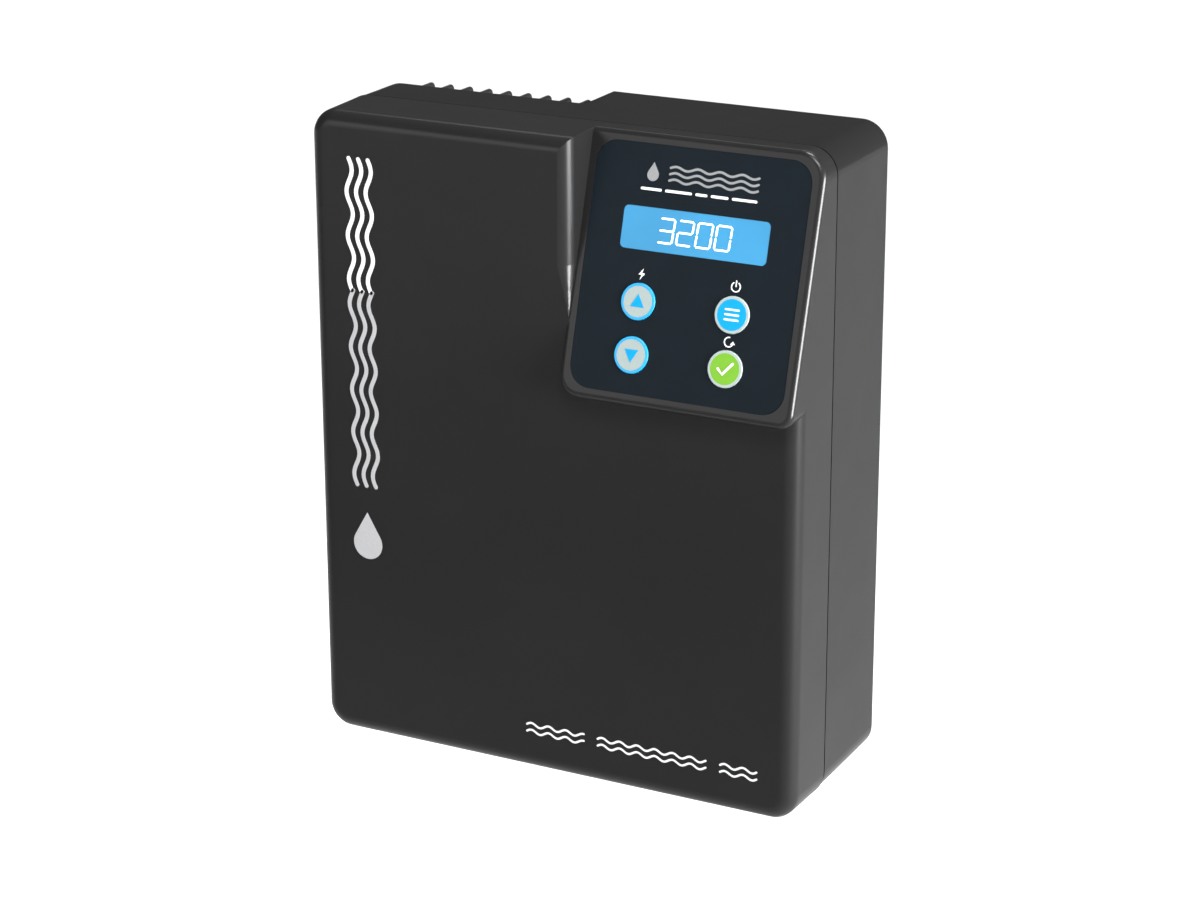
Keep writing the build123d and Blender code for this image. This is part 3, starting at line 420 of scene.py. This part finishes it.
def display_digits():
    """Four seven-segment figures in the middle of the window."""
    pane_depth = 0.2 * MM      # the window itself reaches that far in from the lens's top
    sheet = bezel.level("display_lens")
    _, high = bezel.span("display_lens")
    spots = [bezel.flat(v.co) for v in nodes["display_lens"].data.vertices]
    top = [s for s in spots if s[2] > high[2] - pane_depth]
    left, right = min(s[0] for s in top), max(s[0] for s in top)
    below, above = min(s[1] for s in top), max(s[1] for s in top)
    mid_u, mid_v = (left + right) / 2, (below + above) / 2
    height = (above - below) * FIGURE_HEIGHT
    width, pitch, pen = height * FIGURE_WIDTH, height * FIGURE_PITCH, height * FIGURE_PEN
    bm = bmesh.new()
    for place, figure in enumerate(FIGURES):
        offset = mid_u + (place - (len(FIGURES) - 1) / 2) * pitch
        for letter in LIT[figure]:
            (u0, v0), (u1, v1) = SEGMENTS[letter]
            a = Vector((offset + u0 * width / 2, mid_v + v0 * height / 4))
            b = Vector((offset + u1 * width / 2, mid_v + v1 * height / 4))
            along = (b - a).normalized()
            a += along * pen * FIGURE_GAP
            b -= along * pen * FIGURE_GAP
            side = Vector((-along.y, along.x)) * pen / 2
            nose = along * pen / 2
            outline = [a - nose, a + side, b + side, b + nose, b - side, a - side]
            slab(bm, sheet, [(p.x + (p.y - mid_v) * FIGURE_SLANT, p.y) for p in outline])
    mesh_object("display_digits", bm, INKS["segment"], "box")


def key_centre(name):
    """Where the middle of a key lies on the bezel."""
    low, high = bezel.span("key_" + name)
    return (low[0] + high[0]) / 2, (low[1] + high[1]) / 2


def key_radius():
    """Radius of a key's cap, without the flange behind the bezel."""
    cap_depth = 0.6 * MM       # the points in front of that depth are the cap's
    _, high = bezel.span("key_up")
    u, v = key_centre("up")
    spots = [bezel.flat(p.co) for p in nodes["key_up"].data.vertices]
    return max(Vector((s[0] - u, s[1] - v)).length for s in spots if s[2] > high[2] - cap_depth)


def placed(shape, u, v, size):
    """A shape given in units of size, put at (u, v)."""
    return [(u + x * size, v + y * size) for x, y in shape]


KEY_RIM = 1.45 * MM        # how much of the key shows round its disc
DISC_SIDES = 64
DISC_INKS = {"up": "pale", "down": "pale", "menu": "blue", "ok": "green"}
BAR_PEN = 0.95 * MM
TICK_PEN = 1.25 * MM
# Symbols in units of a key's radius
ARROW = [(-0.42, -0.30), (0.42, -0.30), (0, 0.42)]
BARS = [[(-0.38, row), (0.38, row)] for row in (-0.27, 0, 0.27)]
TICK = [(-0.40, -0.02), (-0.12, -0.30), (0.42, 0.32)]


def key_faces():
    """Coloured disc inside each key's rim, with its symbol, both moving with the key."""
    radius = key_radius()
    for name, color in DISC_INKS.items():
        u, v = key_centre(name)
        top = bezel.level("key_" + name)
        bm = bmesh.new()
        slab(bm, top, arc(u, v, radius - KEY_RIM, 0, 2 * pi, DISC_SIDES)[:-1])
        mesh_object("key_disc_" + name, bm, INKS[color], name + "_key")

        disc_top = Sheet(top.point(0, 0, PRINT_RISE), top.right, top.normal)
        bm = bmesh.new()
        symbol_ink = "white"
        if name in ("up", "down"):
            way = 1 if name == "up" else -1
            arrow = [(x, y * way) for x, y in ARROW][::way]
            slab(bm, disc_top, placed(arrow, u, v, radius))
            symbol_ink = "blue"
        elif name == "menu":
            for bar in BARS:
                stroke(bm, disc_top, placed(bar, u, v, radius), BAR_PEN)
        else:
            stroke(bm, disc_top, placed(TICK, u, v, radius), TICK_PEN)
        mesh_object("key_symbol_" + name, bm, INKS[symbol_ink], name + "_key")


LEGEND_SIZE = 2.3 * MM     # half height of a small symbol above a key
LEGEND_PEN = 0.62 * MM
LEGEND_RISE = 4.4 * MM     # from a key's edge up to its symbol
LEGEND_STEPS = 30          # in a round stroke
# Symbols in units of LEGEND_SIZE, and the arrow head in units of its half width
SPARK = [(0.35, 1.25), (-0.75, -0.15), (-0.05, -0.15), (-0.35, -1.25), (0.75, 0.2), (0.05, 0.2)]
POWER_BAR = [(0, 0.1), (0, 1.25)]
POWER_ARC = radians(125), radians(415)
CYCLE_ARC = radians(85), radians(335)
CYCLE_DROP = 0.4 * MM      # its middle lies that much lower than the others
HEAD = [(-1, -0.1), (1, -0.1), (0.1, 1.2)]
HEAD_SIZE = 0.58 * LEGEND_SIZE


def key_legends():
    """Small symbols above three keys: a spark, a power mark and a turning arrow."""
    sheet = bezel.level("keypad_overlay")
    rise = key_radius() + LEGEND_RISE

    u, v = key_centre("up")
    bm = bmesh.new()
    slab(bm, sheet, placed(SPARK, u, v + rise, LEGEND_SIZE))
    mesh_object("legend_boost", bm, INKS["white"], "box")

    u, v = key_centre("menu")
    bm = bmesh.new()
    stroke(bm, sheet, arc(u, v + rise, LEGEND_SIZE, *POWER_ARC, LEGEND_STEPS), LEGEND_PEN)
    stroke(bm, sheet, placed(POWER_BAR, u, v + rise, LEGEND_SIZE), LEGEND_PEN)
    mesh_object("legend_power", bm, INKS["white"], "box")

    u, v = key_centre("ok")
    bm = bmesh.new()
    turn = arc(u, v + rise - CYCLE_DROP, LEGEND_SIZE, *CYCLE_ARC, LEGEND_STEPS)
    stroke(bm, sheet, turn, LEGEND_PEN)
    slab(bm, sheet, placed(HEAD, *turn[-1], HEAD_SIZE))
    mesh_object("legend_cycle", bm, INKS["white"], "box")


def bezel_header():
    """Plain water motif above the display: a droplet, wave lines and a broken rule."""
    half_width = 30 * MM
    row_below_edge = 13.8 * MM
    drop_in, drop_below, drop_radius = 4 * MM, 1.2 * MM, 3.1 * MM
    wave_in, wave_out = 13 * MM, 60 * MM
    wave_gap, wave_height, wave_length, wave_pen = 3.1 * MM, 0.8 * MM, 11.75 * MM, 1.15 * MM
    wave_steps = 10
    rule_back, rule_below, rule_gap, rule_pen = 1 * MM, 8.2 * MM, 3.2 * MM, 1.3 * MM
    rule_lengths = [length * MM for length in (10, 13, 5, 8, 12)]

    sheet = bezel.level("keypad_overlay")
    low, high = bezel.span("keypad_overlay")
    left = (low[0] + high[0]) / 2 - half_width
    row = high[1] - row_below_edge

    bm = bmesh.new()
    slab(bm, sheet, droplet(left + drop_in, row - drop_below, drop_radius))
    mesh_object("header_droplet", bm, INKS["silver"], "box")

    bm = bmesh.new()
    for step in (-1, 0, 1):
        line = wave(left + wave_in, left + wave_out, row + step * wave_gap, wave_height,
                    wave_length, wave_steps)
        stroke(bm, sheet, line, wave_pen)
    mesh_object("header_waves", bm, INKS["silver"], "box")

    bm = bmesh.new()
    start, rule_row = left - rule_back, row - rule_below
    for length in rule_lengths:
        stroke(bm, sheet, [(start, rule_row), (start + length, rule_row)], rule_pen)
        start += length + rule_gap
    mesh_object("header_rule", bm, INKS["white"], "box")


def upright_motif():
    """A droplet with wave lines rising from it, at the left of the main face."""
    from_left = 30 * MM
    drop_middle, drop_radius = 110 * MM, 8.6 * MM
    wave_bottom, wave_change, wave_top = 142 * MM, 247 * MM, 316 * MM
    wave_gap, wave_height, wave_length, wave_pen = 5.6 * MM, 1.7 * MM, 23 * MM, 2.3 * MM
    wave_steps = 16

    column, low_z = cover_low.x + from_left, cover_low.z
    bm = bmesh.new()
    slab(bm, face, droplet(column, low_z + drop_middle, drop_radius))
    mesh_object("motif_droplet", bm, INKS["grey"], "box")

    upright = Sheet((column, front_y, 0), (0, 0, 1), (0, -1, 0))
    parts = (("lower", wave_bottom, wave_change, "grey"), ("upper", wave_change, wave_top, "white"))
    for name, first, last, color in parts:
        bm = bmesh.new()
        for step in (-1, 0, 1):
            line = wave(low_z + first, low_z + last, step * wave_gap, wave_height, wave_length,
                        wave_steps)
            stroke(bm, upright, line, wave_pen)
        mesh_object("motif_waves_" + name, bm, INKS[color], "box")


def foot_motif():
    """Broken pair of wave lines at the lower right of the main face."""
    from_left, from_bottom = 123.5 * MM, 24.5 * MM
    half_gap, wave_height, wave_length, wave_pen = 1.9 * MM, 1.0 * MM, 10 * MM, 1.1 * MM
    wave_steps = 14
    lengths = [length * MM for length in (33, 61, 20)]
    space = 8 * MM

    start, row = cover_low.x + from_left, cover_low.z + from_bottom
    bm = bmesh.new()
    for length in lengths:
        for step in (-1, 1):
            line = wave(start, start + length, row + step * half_gap, wave_height, wave_length,
                        wave_steps)
            stroke(bm, face, line, wave_pen)
        start += length + space
    mesh_object("motif_wave_line", bm, INKS["white"], "box")


display_digits()
key_faces()
key_legends()
bezel_header()
upright_motif()
foot_motif()


# Floor, light and camera

FLOOR_REACH = 12.0
FLOOR_DROP = 0.35          # under the box's lowest point
PAPER = (0.90, 0.90, 0.90)
PANEL_HEIGHT = 2.0
PANEL_SPREAD = 26          # degrees, so that a panel lights the floor under it and little else
WORLD_COLOR = (0.9, 0.9, 0.9)
WORLD_STRENGTH = 0.18


def studio_floor():
    """Plain pale floor under the box, which hangs above it."""
    z = cad_bounds[0].z - FLOOR_DROP
    sides = ((-1, -1), (1, -1), (1, 1), (-1, 1))
    corners = [(x * FLOOR_REACH, y * FLOOR_REACH, z) for x, y in sides]
    mesh = bpy.data.meshes.new("floor")
    mesh.from_pydata(corners, [], [(0, 1, 2, 3)])
    floor = bpy.data.objects.new("floor", mesh)
    bpy.context.scene.collection.objects.link(floor)
    paper, _, _ = shader("paper", PAPER, 0.9, specular=0.1)
    mesh.materials.append(paper)


def area_light(name, spot, target, size, energy, spread):
    """Soft rectangular lamp at a spot, aimed at a target; energy in watts, spread in degrees."""
    data = bpy.data.lights.new(name, "AREA")
    data.shape = "RECTANGLE"
    data.size, data.size_y = size
    data.energy = energy
    data.spread = radians(spread)
    lamp = bpy.data.objects.new(name, data)
    bpy.context.scene.collection.objects.link(lamp)
    lamp.location = spot
    lamp.rotation_euler = (Vector(target) - Vector(spot)).to_track_quat("-Z", "Y").to_euler()


def floor_panel(name, x, y, size, energy):
    """Lamp looking straight down at the floor."""
    area_light(name, (x, y, PANEL_HEIGHT), (x, y, 0), size, energy, PANEL_SPREAD)


def studio_light():
    """Panels that keep the floor pale, lamps round the box and an even grey world."""
    middle = (cad_bounds[0] + cad_bounds[1]) / 2
    floor_panel("overhead", 0.3, 3.0, (9.4, 6.7), 214)
    area_light("right_key", (2.10, -0.22, 0.18), (0, -0.05, 0.08), (1.6, 1.1), 36, 50)
    area_light("front_top", (0.35, -0.72, 0.98), (0.02, -0.11, 0.08), (0.6, 0.25), 4.6, 100)
    area_light("front_left", (-1.18, -2.30, 0.65), (0.07, -0.11, 0.1), (2.2, 1.3), 3.0, 60)
    floor_panel("near_front", 0.2, -1.20, (9.0, 1.5), 10)
    floor_panel("mid_front", 0.2, -2.85, (7.4, 2.1), 50)
    floor_panel("far_front", 0.0, -7.4, (14, 7.0), 320)
    floor_panel("right_floor", 6.6, -1.2, (6.4, 4.4), 90)
    floor_panel("left_floor", -6.6, -1.2, (6.4, 4.4), 90)
    area_light("back_panel", (-0.8, 2.2, 2.9), middle, (2.8, 0.5), 3.4, 60)
    world = bpy.data.worlds.new("world")
    world.use_nodes = True
    background = world.node_tree.nodes["Background"]
    background.inputs["Color"].default_value = (*WORLD_COLOR, 1)
    background.inputs["Strength"].default_value = WORLD_STRENGTH
    bpy.context.scene.world = world
    bpy.context.scene.view_settings.view_transform = "Standard"


CAMERA_PLACE = (0.67990, -1.38357, 0.51115)
CAMERA_TURN = radians(27.11)     # about the vertical, from straight in front
CAMERA_DOWN = radians(17.82)     # below the horizon
CAMERA_ROLL = radians(-0.09)
SENSOR_WIDTH = 36                # mm, as is the lens
LENS = 91.51
SHIFT_Y = -0.0625                # of the frame's width


def camera():
    """Above and to the right of the box, as in the photograph."""
    turn, down, roll = CAMERA_TURN, CAMERA_DOWN, CAMERA_ROLL
    forward = Vector((-sin(turn) * cos(down), cos(turn) * cos(down), -sin(down)))
    right = Vector((cos(turn), sin(turn), 0))
    up = right.cross(forward)
    tilted_right = right * cos(roll) + up * sin(roll)
    tilted_up = -right * sin(roll) + up * cos(roll)
    rotation = Matrix((tilted_right, tilted_up, -forward)).transposed()
    data = bpy.data.cameras.new("camera")
    data.sensor_width = SENSOR_WIDTH
    data.lens = LENS
    data.shift_y = SHIFT_Y
    view = bpy.data.objects.new("camera", data)
    bpy.context.scene.collection.objects.link(view)
    view.matrix_world = Matrix.Translation(CAMERA_PLACE) @ rotation.to_4x4()
    bpy.context.scene.camera = view


studio_floor()
studio_light()
camera()
